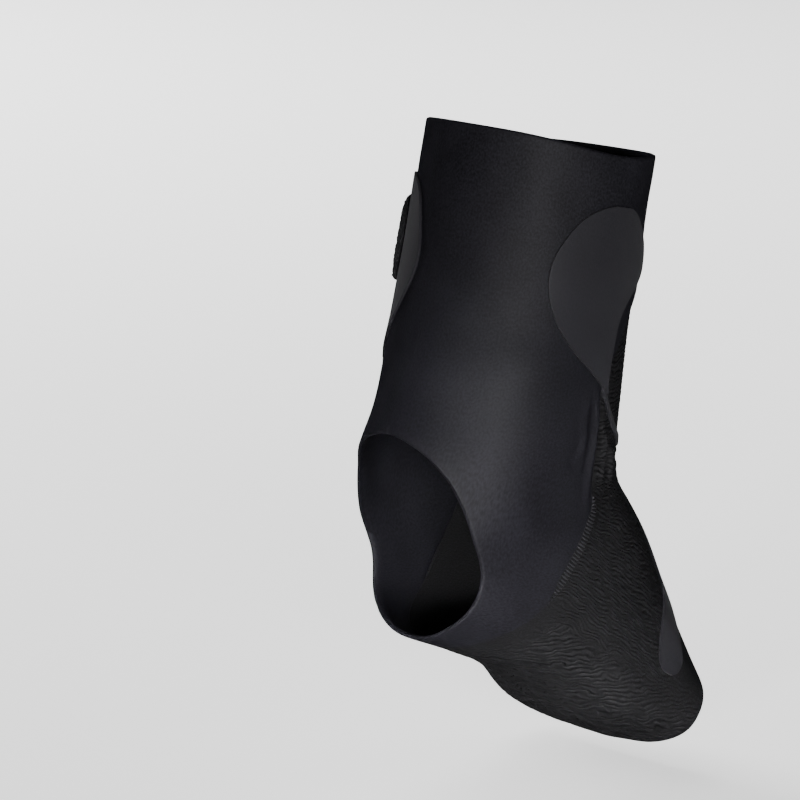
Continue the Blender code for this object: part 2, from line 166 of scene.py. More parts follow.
def through(xs, ys, x):
    """Smooth curve through the values of a table."""
    xs, ys, x = (np.asarray(a, float) for a in (xs, ys, x))
    gaps = np.diff(xs)
    slopes = np.diff(ys) / gaps
    lean = np.zeros(len(xs))
    lean[1:-1] = (slopes[:-1] * gaps[1:] + slopes[1:] * gaps[:-1]) / (xs[2:] - xs[:-2])
    lean[0] = 1.5 * slopes[0] - 0.5 * lean[1]
    lean[-1] = 1.5 * slopes[-1] - 0.5 * lean[-2]
    i = np.clip(np.searchsorted(xs, x) - 1, 0, len(xs) - 2)
    h = gaps[i]
    t = (x - xs[i]) / h
    s = 1.0 - t
    ends = (1 + 2 * t) * s * s * ys[i] + t * t * (3 - 2 * t) * ys[i + 1]
    return ends + t * s * h * (s * lean[i] - t * lean[i + 1])


def at_angle(u, angle):
    """Point of the sleeve's outside: angle 0 at the front, pi at the back."""
    column = [through(SECTIONS[:, 0], SECTIONS[:, k], u) for k in range(1, 10)]
    front_x, front_z, back_x, back_z, widest, outer, inner, front_n, back_n = column
    c, s = np.cos(angle), np.sin(angle)
    power = np.where(c > 0, front_n, back_n)
    reach = (np.abs(c) ** power + np.abs(s) ** power) ** (-1.0 / power)
    c, s = c * reach, s * reach
    mid_x = front_x + (back_x - front_x) * widest
    mid_z = front_z + (back_z - front_z) * widest
    x = mid_x + c * np.where(c > 0, front_x - mid_x, mid_x - back_x)
    z = mid_z + c * np.where(c > 0, front_z - mid_z, mid_z - back_z)
    y = -s * np.where(s > 0, outer, inner)
    return np.stack([x * FOOT_REACH, y * HALF_WIDTH, z * BRACE_HEIGHT], -1)


# %% Even steps round each section
# The share v is measured along the cloth, so the angle for each u and v is looked up in a table.
ROW_SHARES = np.linspace(-0.02, 1.02, 261)
ROUND_SHARES = np.linspace(0.0, 1.0, 161)


def angle_table(side):
    """Angle for each row share and round share, and half the girth of each row."""
    angles = np.linspace(0.0, np.pi, 241)
    ring = at_angle(ROW_SHARES[:, None], side * angles[None])
    steps = np.linalg.norm(np.diff(ring, axis=1), axis=2)
    run = np.concatenate([np.zeros((len(ring), 1)), np.cumsum(steps, axis=1)], axis=1)
    table = np.array([np.interp(ROUND_SHARES * r[-1], r, angles) for r in run])
    return table, run[:, -1]


OUTER_ANGLES, OUTER_GIRTH = angle_table(1.0)
INNER_ANGLES, _ = angle_table(-1.0)


def look_up(table, u, v):
    """Value of a table between its rows and columns."""
    i = (np.clip(u, ROW_SHARES[0], ROW_SHARES[-1]) - ROW_SHARES[0]) / np.diff(ROW_SHARES)[0]
    j = np.clip(v, 0.0, 1.0) * (len(ROUND_SHARES) - 1)
    i0 = np.clip(i.astype(int), 0, table.shape[0] - 2)
    j0 = np.clip(j.astype(int), 0, table.shape[1] - 2)
    i, j = i - i0, j - j0
    near = table[i0, j0] * (1 - j) + table[i0, j0 + 1] * j
    far = table[i0 + 1, j0] * (1 - j) + table[i0 + 1, j0 + 1] * j
    return near * (1 - i) + far * i


def bare_skin(u, v):
    """Point of the smooth form at the shares u, v."""
    u, v = np.broadcast_arrays(np.asarray(u, float), np.asarray(v, float))
    v = (v + 1.0) % 2.0 - 1.0
    side = np.where(v < 0, -1.0, 1.0)
    angle = np.where(
        v < 0, look_up(INNER_ANGLES, u, np.abs(v)), look_up(OUTER_ANGLES, u, np.abs(v)))
    return at_angle(u, angle * side)


ROW_LENGTH = np.linalg.norm(np.diff(bare_skin(np.linspace(0, 1, 200), 0.5), axis=0), axis=1).sum()
ROUND_LENGTH = float(OUTER_GIRTH.mean())
print("along the leg %.1f mm, half round %.1f mm" % (ROW_LENGTH * 1e3, ROUND_LENGTH * 1e3))

# %% [markdown]
# ## Folds
# Where the foot bends, the cloth over the front of the ankle is pushed together.
# It stands up in a few narrow folds that run into the side seams, with small puckers beside them.
# Each fold is a path on the form with a height and a width, and it fades out at both ends.
# Every layer is laid on the folded form, so a strap rides over the folds of the cloth under it.

# %% Fold helpers
def ease(low, high, x):
    """0 below low, 1 above high, and a soft step between."""
    t = np.clip((x - low) / (high - low), 0.0, 1.0)
    return t * t * (3 - 2 * t)


def from_path(u, v, path):
    """Distance in metres to a path on the form, and the share along the path."""
    place = np.stack([u * ROW_LENGTH, v * ROUND_LENGTH], -1)
    path = np.array(path) * (ROW_LENGTH, ROUND_LENGTH)
    best, share = np.full(u.shape, 1.0), np.zeros(u.shape)
    for k, (a, b) in enumerate(zip(path[:-1], path[1:])):
        way = b - a
        t = np.clip((place - a) @ way / (way @ way), 0.0, 1.0)
        far = np.linalg.norm(place - a - t[..., None] * way, axis=-1)
        nearer = far < best
        best = np.where(nearer, far, best)
        share = np.where(nearer, (k + t) / (len(path) - 1), share)
    return best, share


def ripples(place, length, seed, count=14):
    """Soft random waves, about -1 to 1, with hollows about a length apart."""
    dice = np.random.default_rng(seed)
    ways = dice.normal(size=(count, place.shape[-1]))
    ways /= np.linalg.norm(ways, axis=1, keepdims=True)
    ways *= dice.uniform(0.6, 1.5, (count, 1)) * 2 * np.pi / length
    turns = dice.uniform(0, 2 * np.pi, count)
    total = np.zeros(place.shape[:-1])
    for way, turn in zip(ways, turns):
        total += np.sin(place @ way + turn)
    return total / np.sqrt(count / 2) * 0.7


PUCKER_HEIGHT, PUCKER_LENGTH = 0.00026, 0.0026
SLACK_HEIGHT, SLACK_LENGTH = 0.00022, 0.034

# height and width in metres, path as u, v
# A path that ends on the outer side is used on the inner side as well.
FOLDS = (
    (0.0024, 0.0160, (
        (0.290, 0.650), (0.370, 0.635), (0.450, 0.620), (0.540, 0.600), (0.640, 0.590))),
    (0.0010, 0.0016, (
        (0.385, 0.425), (0.408, 0.415), (0.448, 0.400), (0.487, 0.395), (0.530, 0.390),
        (0.580, 0.370), (0.610, 0.365))),
    (-0.0040, 0.0011, (
        (0.372, 0.405), (0.390, 0.395), (0.415, 0.378), (0.438, 0.367), (0.465, 0.358),
        (0.500, 0.356), (0.527, 0.358), (0.552, 0.352), (0.590, 0.328))),
    (0.0012, 0.0012, (
        (0.440, 0.338), (0.470, 0.330), (0.505, 0.325), (0.545, 0.318), (0.575, 0.300))),
    (-0.0014, 0.0012, ((0.450, 0.312), (0.480, 0.308), (0.515, 0.300), (0.550, 0.290))),
    (0.0015, 0.0015, ((0.470, 0.290), (0.503, 0.285), (0.540, 0.270), (0.580, 0.250))),
    (0.0008, 0.0022, (
        (0.490, 0.220), (0.505, 0.120), (0.508, 0.000), (0.505, -0.120), (0.490, -0.220))),
    (-0.0008, 0.0022, (
        (0.515, 0.230), (0.526, 0.110), (0.528, 0.000), (0.526, -0.110), (0.515, -0.230))),
    (0.0006, 0.0024, ((0.540, 0.200), (0.548, 0.000), (0.540, -0.200))),
    (-0.0006, 0.0020, ((0.385, 0.440), (0.440, 0.430), (0.485, 0.420), (0.540, 0.408))),
    (0.0005, 0.0022, ((0.380, 0.462), (0.430, 0.454), (0.480, 0.444), (0.540, 0.430))),
    (-0.0003, 0.0024, ((0.390, 0.486), (0.440, 0.480), (0.490, 0.468), (0.540, 0.456))),
)


def folds(u, v):
    """Height of the folded cloth over the smooth form."""
    height = np.zeros(u.shape)
    for rise, width, path in FOLDS:
        both = (path,) if path[-1][1] < 0 else (path, [(a, -b) for a, b in path])
        for line in both:
            far, share = from_path(u, v, line)
            fade = ease(0.0, 0.25, share) * ease(0.0, 0.25, 1 - share)
            height += rise * fade * np.exp(-(far / width) ** 2)
    place = np.stack([u * ROW_LENGTH / 4, v * ROUND_LENGTH], -1)
    zone = np.exp(-((u - 0.475) / 0.055) ** 2 - ((np.abs(v) - 0.445) / 0.04) ** 2)
    height += PUCKER_HEIGHT * zone * ripples(place, PUCKER_LENGTH, 5)
    wide = np.stack([u * ROW_LENGTH / 1.6, v * ROUND_LENGTH], -1)
    return height + SLACK_HEIGHT * ripples(wide, SLACK_LENGTH, 8) * ease(0.0, 0.06, u)


def skin(u, v):
    """Points and outward normals of the folded form at the shares u, v."""
    u, v = np.broadcast_arrays(np.asarray(u, float), np.asarray(v, float))
    step = 0.0015
    down = bare_skin(u + step, v) - bare_skin(u - step, v)
    around = bare_skin(u, v + step) - bare_skin(u, v - step)
    normal = np.cross(around, down)
    normal /= np.linalg.norm(normal, axis=-1, keepdims=True)
    v = (v + 1.0) % 2.0 - 1.0
    return bare_skin(u, v) + normal * folds(u, v)[..., None], normal


print("folds on each side:", len(FOLDS))

# %% [markdown]
# ## Laying cloth on the form
# A cloth piece starts as a flat grid, like a cut of cloth on a table.
# Each point of the grid is then moved to its place on the form.
# Its UV map says where it lies on the flat cut, in metres.
# The outside gets a fine grid, for ribs and folds, and the lining a coarser one.
# The two are joined at their edges, so each piece is one closed wall.

# %% Grid helpers
LINING_STEP = 4
EXTRA = {}                # per-point values that a piece carries, as functions of row and column


def select(objects):
    """Select these objects only, with the first one active."""
    bpy.ops.object.select_all(action="DESELECT")
    for obj in objects:
        obj.select_set(True)
    bpy.context.view_layer.objects.active = objects[0]


def tree_of(verts):
    """A search tree over the places of some vertices."""
    tree = kdtree.KDTree(len(verts))
    for k, vert in enumerate(verts):
        tree.insert(vert.co, k)
    tree.balance()
    return tree


def lay_grid(points, flat, normals):
    """A grid primitive whose points are moved to the places given, rows down and columns across."""
    rows, columns = points.shape[0] - 1, points.shape[1] - 1
    bpy.ops.object.select_all(action="DESELECT")
    bpy.ops.mesh.primitive_grid_add(x_subdivisions=columns, y_subdivisions=rows, size=1.0)
    obj = bpy.context.object
    mesh = obj.data
    co = np.empty(len(mesh.vertices) * 3)
    mesh.vertices.foreach_get("co", co)
    co = co.reshape(-1, 3)
    i = np.rint((0.5 - co[:, 1]) * rows).astype(int)
    j = np.rint((co[:, 0] + 0.5) * columns).astype(int)
    mesh.vertices.foreach_set("co", points[i, j].ravel())
    corner = np.empty(len(mesh.loops), int)
    mesh.loops.foreach_get("vertex_index", corner)
    mesh.uv_layers[0].data.foreach_set("uv", flat[i, j][corner].ravel())
    for name, values in EXTRA.items():
        layer = mesh.attributes.new(name, "FLOAT", "POINT")
        layer.data.foreach_set("value", values(i, j).astype(np.float32))
    mesh.update()
    faced = np.empty(len(mesh.polygons) * 3)
    mesh.polygons.foreach_get("normal", faced)
    first = np.empty(len(mesh.polygons), int)
    mesh.polygons.foreach_get("loop_start", first)
    if (faced.reshape(-1, 3) * normals[i, j][corner[first]]).sum() < 0:
        mesh.flip_normals()
    return obj


def lay_sheets(name, sheets, merge=0.00001):
    """Grids for all sheets of one piece, joined along their shared borders."""
    made = []
    for sheet in sheets:
        EXTRA.clear()
        EXTRA.update({
            key: (lambda grid: lambda i, j: grid[i, j])(sheet[key])
            for key in sheet if key not in ("points", "flat", "normals")})
        made.append(lay_grid(sheet["points"], sheet["flat"], sheet["normals"]))
    select(made)
    if len(made) > 1:
        bpy.ops.object.join()
    piece = bpy.context.view_layer.objects.active
    piece.name = name
    piece.data.name = name
    bpy.ops.object.mode_set(mode="EDIT")
    bpy.ops.mesh.select_all(action="SELECT")
    bpy.ops.mesh.remove_doubles(threshold=merge)
    bpy.ops.mesh.dissolve_degenerate(threshold=0.000001)
    bpy.ops.object.mode_set(mode="OBJECT")
    return piece


def thin(sheet):
    """Every fourth row and column of a sheet, for the lining."""
    return {key: grid[::LINING_STEP, ::LINING_STEP] for key, grid in sheet.items()}


def make_wall(name, outside, lining, material):
    """One closed wall from an outside and a lining, joined along their free edges."""
    bm = bmesh.new()
    bm.from_mesh(outside.data)
    rim = [e for e in bm.edges if e.is_boundary]
    count = len(bm.verts)
    bm.from_mesh(lining.data)
    bm.verts.ensure_lookup_table()
    near = [v for v in bm.verts[count:] if v.is_boundary]
    tree = tree_of(near)
    owner = {}
    for edge in rim:
        for vert in edge.verts:
            if vert not in owner:
                owner[vert] = near[tree.find(vert.co)[1]]
    for edge in rim:
        loop = edge.link_loops[0]
        a, b = loop.link_loop_next.vert, loop.vert
        ring = [a, b]
        for other in (owner[b], owner[a]):
            if other not in ring:
                ring.append(other)
        if bm.faces.get(ring) is None:
            bm.faces.new(ring).smooth = True
    bmesh.ops.holes_fill(bm, edges=[e for e in bm.edges if e.is_boundary], sides=8)
    mesh = bpy.data.meshes.new(name)
    bm.to_mesh(mesh)
    bm.free()
    mesh.materials.append(material)
    piece = bpy.data.objects.new(name, mesh)
    bpy.context.scene.collection.objects.link(piece)
    for old in (outside, lining):
        bpy.data.objects.remove(old)
    return piece


def report(piece):
    """Print the size of a finished piece, and what is still open."""
    mesh = piece.data
    mesh.calc_loop_triangles()
    bm = bmesh.new()
    bm.from_mesh(mesh)
    rough = sum(1 for e in bm.edges if len(e.link_faces) != 2)
    volume = bm.calc_volume(signed=True) * 1e9
    bm.free()
    print(f"{piece.name}: {len(mesh.loop_triangles)} triangles, "
          f"{rough} open edges, {volume:.0f} mm3")


def finish_piece(piece, node):
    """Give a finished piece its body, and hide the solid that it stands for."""
    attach(piece, "root")
    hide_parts(node)
    report(piece)
    return piece


# %% Spread rows and sheets
EDGE_STEPS = np.array((0.00030, 0.00065, 0.00110))


def spread(length, count):
    """Shares from 0 to 1, with three short steps at each end for a rounded edge."""
    length = np.asarray(length, float)[..., None]
    low = EDGE_STEPS / length
    steps = count - 2 * len(EDGE_STEPS)
    middle = np.linspace(0.0, 1.0, steps + 1)[1:-1]
    middle = low[..., -1:] + (1 - 2 * low[..., -1:]) * middle
    nought = np.zeros_like(length)
    return np.concatenate([nought, low, middle, 1 - low[..., ::-1], nought + 1], -1)


def rows_between(first, last, count, even=False):
    """u and v from one line to another: count cells down, one column for each point."""
    first, last = np.asarray(first, float), np.asarray(last, float)
    if even:
        share = np.linspace(0, 1, count + 1)[:, None] + 0 * first[:, 0]
    else:
        length = np.hypot(*((last - first) * (ROW_LENGTH, ROUND_LENGTH)).T)
        share = spread(length, count).T
    both = first * (1 - share[..., None]) + last * share[..., None]
    return both[..., 0], both[..., 1]


def sheet_at(u, v, lift=0.0, **values):
    """A sheet of points over the form, its cut in metres, and the values that it carries."""
    points, normals = skin(u, v)
    flat = np.stack([v * ROUND_LENGTH, -u * ROW_LENGTH], -1)
    lift = np.broadcast_to(lift, u.shape)[..., None]
    values = {key: np.broadcast_to(value, u.shape) for key, value in values.items()}
    return dict(points=points + normals * lift, flat=flat, normals=normals, **values)


def ends(shape, **sides):
    """1 on the named sides of a sheet, 0 elsewhere: where its edge is rounded."""
    free = np.zeros(shape)
    if sides.get("top"):
        free[0] = 1
    if sides.get("bottom") is not None:
        free[-1] = sides["bottom"]
    if sides.get("left"):
        free[:, 0] = 1
    if sides.get("right"):
        free[:, -1] = 1
    return free


def round_edges(piece, radius, inward=1.0):
    """Sink the cloth towards the middle of its wall near the edges marked free."""
    mesh = piece.data
    free = np.empty(len(mesh.vertices))
    mesh.attributes["free"].data.foreach_get("value", free)
    bm = bmesh.new()
    bm.from_mesh(mesh)
    bm.verts.ensure_lookup_table()
    marks = [v for v in bm.verts if v.is_boundary and free[v.index] > 0.5]
    if not marks:
        bm.free()
        return
    tree = tree_of(marks)
    for vert in bm.verts:
        far = tree.find(vert.co)[2]
        if far < radius:
            sink = radius - np.sqrt(radius ** 2 - (radius - far) ** 2)
            vert.co -= vert.normal * float(sink * inward)
    bm.to_mesh(mesh)
    bm.free()


# %% [markdown]
# ## Cloth finishes
# The brace is all matt charcoal, so its parts are told apart by their surface and not by colour.
# The shell is a fine warp knit, the front is ribbed, the tabs are a smooth film with a faint mesh.
# Each material reads the piece's own UV map, in metres, so a stitch keeps its real size.

# %% Material helpers
def add_node(tree, kind, **values):
    """A node, with its inputs set by name and its settings by attribute."""
    node = tree.nodes.new(kind)
    for key, value in values.items():
        if key in node.inputs:
            node.inputs[key].default_value = value
        else:
            setattr(node, key, value)
    return node


def cut_place(tree, across, along):
    """Place on the cut cloth, in stitches across and along."""
    uv = add_node(tree, "ShaderNodeUVMap")
    scale = add_node(tree, "ShaderNodeMapping")
    scale.inputs["Scale"].default_value = (1 / across, 1 / along, 1.0)
    tree.links.new(uv.outputs["UV"], scale.inputs["Vector"])
    return scale.outputs["Vector"]


def object_place(tree, size):
    """Place on the brace, in steps of a size in metres."""
    place = add_node(tree, "ShaderNodeTexCoord")
    scale = add_node(tree, "ShaderNodeMapping")
    scale.inputs["Scale"].default_value = (1 / size,) * 3
    tree.links.new(place.outputs["Object"], scale.inputs["Vector"])
    return scale.outputs["Vector"]


def blend_colours(tree, factor, dark, light):
    """Colour between two, by a factor."""
    mix = add_node(tree, "ShaderNodeMix", data_type="RGBA")
    mix.inputs[6].default_value = (*dark, 1.0)
    mix.inputs[7].default_value = (*light, 1.0)
    tree.links.new(factor, mix.inputs[0])
    return mix.outputs[2]


def combine(tree, operation, a, b, c=None):
    """A maths node on sockets or numbers."""
    node = add_node(tree, "ShaderNodeMath", operation=operation)
    for socket, value in zip(node.inputs, (a, b, c)):
        if value is None:
            continue
        if isinstance(value, (int, float)):
            socket.default_value = value
        else:
            tree.links.new(value, socket)
    return node.outputs[0]


def add_bump(tree, height, distance, strength, under=None):
    """A bump node over another one."""
    bump = add_node(tree, "ShaderNodeBump", Strength=strength, Distance=distance)
    tree.links.new(height, bump.inputs["Height"])
    if under is not None:
        tree.links.new(under, bump.inputs["Normal"])
    return bump.outputs["Normal"]


def cloth_finish(name, dark, light, roughness, sheen=0.0):
    """The start of a cloth material: colour mottled at two sizes."""
    material, tree, shader = new_material(name, light, roughness)
    shader.inputs["Specular IOR Level"].default_value = 0.10
    if sheen:
        shader.inputs["Sheen Weight"].default_value = sheen
        shader.inputs["Sheen Roughness"].default_value = 0.5
    wide = add_node(tree, "ShaderNodeTexNoise", Scale=1.0, Detail=3.0)
    tree.links.new(object_place(tree, 0.018), wide.inputs["Vector"])
    fine = add_node(tree, "ShaderNodeTexNoise", Scale=1.0, Detail=3.0)
    tree.links.new(cut_place(tree, 0.0008, 0.0011), fine.inputs["Vector"])
    both = combine(tree, "MULTIPLY_ADD", fine.outputs["Fac"], 0.75, combine(
        tree, "MULTIPLY", wide.outputs["Fac"], 0.25))
    ramp = add_node(tree, "ShaderNodeMapRange", **{"From Min": 0.38, "From Max": 0.62})
    tree.links.new(both, ramp.inputs["Value"])
    tree.links.new(
        blend_colours(tree, ramp.outputs["Result"], dark, light), shader.inputs["Base Color"])
    return material, tree, shader


# %% Shell, knit, film, pad and thread
def shell_finish():
    """Fine matt warp knit."""
    material, tree, shader = cloth_finish(
        "shell_cloth", (0.0026, 0.0024, 0.0034), (0.0072, 0.0069, 0.0092), 0.62)
    stitch = add_node(tree, "ShaderNodeTexVoronoi", Scale=1.0)
    tree.links.new(cut_place(tree, 0.00055, 0.00080), stitch.inputs["Vector"])
    tree.links.new(
        add_bump(tree, stitch.outputs["Distance"], 0.00010, 0.5), shader.inputs["Normal"])
    return material


def knit_finish():
    """Ribbed knit, with painted rib shade: its ribs follow two sets of lines, which the piece
    carries as turns.
    """
    material, tree, shader = cloth_finish(
        "rib_knit", (0.0036, 0.0035, 0.0039), (0.0066, 0.0064, 0.0071), 0.68)
    waves = []
    for key in ("level_turns", "slant_turns"):
        turns = add_node(tree, "ShaderNodeAttribute", attribute_name=key)
        angle = combine(tree, "MULTIPLY", turns.outputs["Fac"], 2 * np.pi)
        wave = combine(tree, "COSINE", angle, 0.0)
        groove = combine(tree, "POWER", combine(tree, "MULTIPLY_ADD", wave, -0.5, 0.5), 2.0)
        waves.append(combine(tree, "MULTIPLY_ADD", groove, -2.0, 1.0))
    amounts = [
        add_node(tree, "ShaderNodeAttribute", attribute_name=key).outputs["Fac"]
        for key in ("level_ribs", "slant_ribs")]
    height = combine(tree, "MULTIPLY_ADD", waves[0], amounts[0], combine(
        tree, "MULTIPLY", waves[1], amounts[1]))
    stitch = add_node(tree, "ShaderNodeTexVoronoi", Scale=1.0)
    tree.links.new(cut_place(tree, 0.00075, 0.00075), stitch.inputs["Vector"])
    ribs = add_bump(tree, height, 0.00012, 1.0)
    # Painted light and shade: the rib height darkens the colour in the grooves and lightens it on
    # the rib tops.
    painted_rib_shade = add_node(tree, "ShaderNodeMapRange", **{
        "From Min": -1.0, "From Max": 1.0, "To Min": 0.25, "To Max": 1.45})
    tree.links.new(height, painted_rib_shade.inputs["Value"])
    speck = add_node(tree, "ShaderNodeTexNoise", Scale=1.0, Detail=1.0)
    tree.links.new(cut_place(tree, 0.0006, 0.0006), speck.inputs["Vector"])
    specks = add_node(tree, "ShaderNodeMapRange", **{
        "From Min": 0.38, "From Max": 0.62, "To Min": 0.60, "To Max": 1.35})
    tree.links.new(speck.outputs["Fac"], specks.inputs["Value"])
    shade = add_node(tree, "ShaderNodeVectorMath", operation="SCALE")
    cloth = shader.inputs["Base Color"].links[0].from_socket
    tree.links.new(cloth, shade.inputs[0])
    tree.links.new(
        combine(tree, "MULTIPLY", painted_rib_shade.outputs["Result"], specks.outputs["Result"]),
        shade.inputs["Scale"])
    tree.links.new(shade.outputs[0], shader.inputs["Base Color"])
    tree.links.new(
        add_bump(tree, stitch.outputs["Distance"], 0.00014, 0.6, ribs), shader.inputs["Normal"])
    return material


def film_finish():
    """Smooth matt film over a faint mesh."""
    material, tree, shader = cloth_finish(
        "tab_film", (0.0076, 0.0073, 0.0090), (0.0096, 0.0092, 0.0112), 0.60, 0.022)
    mesh = add_node(tree, "ShaderNodeTexVoronoi", Scale=1.0, Randomness=0.25)
    tree.links.new(cut_place(tree, 0.00085, 0.00085), mesh.inputs["Vector"])
    tree.links.new(
        add_bump(tree, mesh.outputs["Distance"], 0.00006, 0.5), shader.inputs["Normal"])
    return material


def pad_finish():
    """Rough looped pile."""
    material, tree, shader = cloth_finish(
        "pad_texture", (0.0050, 0.0050, 0.0055), (0.0120, 0.0120, 0.0130), 0.95)
    loops = add_node(tree, "ShaderNodeTexVoronoi", Scale=1.0)
    tree.links.new(object_place(tree, 0.0009), loops.inputs["Vector"])
    tree.links.new(
        add_bump(tree, loops.outputs["Distance"], 0.0004, 1.0), shader.inputs["Normal"])
    return material


def thread_finish():
    """Twisted thread."""
    material, tree, shader = cloth_finish(
        "seam_thread", (0.0082, 0.0080, 0.0092), (0.0125, 0.0122, 0.0140), 0.70)
    twist = add_node(tree, "ShaderNodeTexWave", Scale=1.0, bands_direction="DIAGONAL")
    tree.links.new(object_place(tree, 0.0006), twist.inputs["Vector"])
    tree.links.new(
        add_bump(tree, twist.outputs["Fac"], 0.00008, 0.6), shader.inputs["Normal"])
    return material


FINISH = {
    "shell_cloth": shell_finish(), "rib_knit": knit_finish(), "tab_film": film_finish(),
    "pad_texture": pad_finish(), "seam_thread": thread_finish(),
}
print("finishes:", ", ".join(FINISH))

# %% [markdown]
# ## The smooth shell
# The shell is the tube above the ankle, with two flanks that run down past the heel hole.
# Its lower edge lies over the knit in a curve across the shin.
# Lower down, a ladder seam joins the two.
# It is laid in five sheets, which share their borders, because one grid can't go round a hole.

# %% Lines on the form
# The lower edge of the cuff: v, u.
CUFF_LINE = np.array((
    (0.00, 0.190), (0.12, 0.197), (0.20, 0.212), (0.28, 0.252),
    (0.34, 0.305), (0.38, 0.345), (0.40, 0.380),
))
# The upper edge of the heel hole: v, u.
HOLE_LINE = np.array(((0.80, 0.531), (0.86, 0.511), (0.92, 0.498), (0.96, 0.492), (1.00, 0.490)))
# Lines across a flank: front u, seam u, seam v, hole u, hole v.
FLANKS = np.array((
    (0.370, 0.380, 0.400, 0.531, 0.800), (0.400, 0.412, 0.402, 0.539, 0.778),
    (0.430, 0.446, 0.400, 0.548, 0.757), (0.458, 0.480, 0.392, 0.558, 0.735),
    (0.483, 0.503, 0.383, 0.568, 0.717), (0.505, 0.524, 0.376, 0.578, 0.703),
    (0.528, 0.546, 0.364, 0.589, 0.692), (0.555, 0.572, 0.346, 0.600, 0.685),
    (0.588, 0.600, 0.341, 0.613, 0.682), (0.622, 0.632, 0.382, 0.630, 0.688),
    (0.660, 0.667, 0.446, 0.652, 0.716), (0.700, 0.700, 0.520, 0.677, 0.767),
    (0.740, 0.726, 0.602, 0.698, 0.828),
))
# The same across the strip under the heel hole: seam u, seam v, hole u, hole v.
HEEL_STRIP = np.array((
    (0.726, 0.602, 0.698, 0.828), (0.739, 0.690, 0.711, 0.890), (0.745, 0.790, 0.719, 0.943),
    (0.748, 0.895, 0.723, 0.980), (0.749, 1.000, 0.724, 1.000),
))
SEAM_CORNER = CUFF_LINE[-1, 0]
HOLE_CORNER = HOLE_LINE[0, 0]


def edge_dip(v):
    """How far the top edge dips at the sides, as a share u."""
    return 0.013 * np.exp(-((np.abs(v) - 0.48) / 0.20) ** 2)


def toe_line(v):
    """The toe edge, cut back over the top of the foot."""
    return 0.968 + 0.032 * ease(0.22, 0.44, np.abs(v))


def cuff_line(v):
    """The curve of the cuff over the knit."""
    return through(CUFF_LINE[:, 0], CUFF_LINE[:, 1], np.abs(v))


def table_rows(table, count):
    """A table read at count even steps a row."""
    t = np.linspace(0, len(table) - 1, (len(table) - 1) * count + 1)
    return np.stack([through(range(len(table)), column, t) for column in table.T], -1)


def both_sides(values, flip=1.0):
    """A half row from the front to the back, with its other half before it."""
    return np.concatenate([flip * values[:0:-1], values])


# %% Shell sheets
SHELL_WALL = 0.0020
CLOTH_ROUNDING = 0.0010   # radius of a cloth's free edge
LINING_ROUNDING = 0.4     # most that a lining's edge is rounded, as a share of the wall
CLOTH_ANGLE = np.radians(62)
FRONT_COUNT, FLANK_COUNT, BACK_COUNT, CUFF_COUNT = 52, 52, 28, 144
FLANK_ROWS, STRIP_ROWS = 12, 14


def shell_sheets():
    """The five sheets of the shell, as lines of u and v with their free edges."""
    corner = (FLANKS[0, 3] - FLANKS[0, 1]) * ROW_LENGTH, (HOLE_CORNER - SEAM_CORNER) * ROUND_LENGTH
    across = spread(np.hypot(*corner), FLANK_COUNT)
    front = np.linspace(0, SEAM_CORNER, FRONT_COUNT + 1)
    rear = np.linspace(HOLE_CORNER, 1, BACK_COUNT + 1)
    v = np.concatenate([front, (SEAM_CORNER + (HOLE_CORNER - SEAM_CORNER) * across)[1:], rear[1:]])
    low = np.concatenate([
        cuff_line(front), (FLANKS[0, 1] + (FLANKS[0, 3] - FLANKS[0, 1]) * across)[1:],
        through(HOLE_LINE[:, 0], HOLE_LINE[:, 1], rear[1:])])
    v, low = both_sides(v, -1.0), both_sides(low)
    grid = rows_between(np.stack([edge_dip(v), v], 1), np.stack([low, v], 1), CUFF_COUNT)
    open_below = (np.abs(v) <= SEAM_CORNER) | (np.abs(v) >= HOLE_CORNER)
    made = [(*grid, ends(grid[0].shape, top=True, bottom=open_below))]
    for table, count, seam in ((FLANKS[:, 1:], FLANK_ROWS, True), (HEEL_STRIP, STRIP_ROWS, False)):
        rows = table_rows(table, count)
        for side in (-1, 1):
            u, v = rows_between(
                rows[:, :2] * (1, side), rows[:, 2:] * (1, side), FLANK_COUNT)
            u, v = u.T, v.T
            made.append((u, v, ends(u.shape, left=seam, right=True)))
    return made


def build_shell():
    """Outside and lining of the shell, joined into one wall."""
    sheets = [sheet_at(u, v, free=free) for u, v, free in shell_sheets()]
    outside = lay_sheets("shell_outside", sheets)
    inner = [sheet_at(u, v, -SHELL_WALL, free=free) for u, v, free in shell_sheets()]
    lining = lay_sheets("shell_lining", [thin(s) for s in inner])
    return outside, lining


def close_cloth(name, outside, lining, wall, rounding, material):
    """Round the edges of both layers, join them, and shade the cloth smooth."""
    round_edges(outside, rounding)
    round_edges(lining, min(rounding, wall * LINING_ROUNDING), -1.0)
    lining.data.flip_normals()
    piece = make_wall(name, outside, lining, material)
    select([piece])
    bpy.ops.object.shade_smooth_by_angle(angle=CLOTH_ANGLE)
    return piece


shell = close_cloth(
    "stretch_shell", *build_shell(), SHELL_WALL, CLOTH_ROUNDING, FINISH["shell_cloth"])
finish_piece(shell, "sleeve_shell")

# %% [markdown]
# ## The ribbed knit
# The knit covers the front of the ankle, the instep and the sole.
# Its ribs lie level round the ankle and along the foot.
# On the instep they slant down from the ladder seam.
# A rib is a real ridge in the mesh, about a quarter of a millimetre high.
# Each point also carries how many ribs lie below it.
# The material sharpens the same ribs with it, and paints shade into their grooves and light onto
# their tops.

# %% Ribs
LEVEL_PITCH, SLANT_PITCH = 0.00175, 0.00135
RIB_HEIGHT = 0.00024
KNIT_SINK = 0.0011        # how far the knit lies below the shell's outside at the ankle
SLANT_WAY = np.array((0.5355, -0.2544, 0.8050))
# Where slanted ribs on the instep give way to level ribs on the side of the foot: u, v.
RIB_BORDER = np.array((
    (0.50, 0.60), (0.74, 0.64), (0.81, 0.63), (0.87, 0.59), (0.92, 0.54), (1.02, 0.46)))


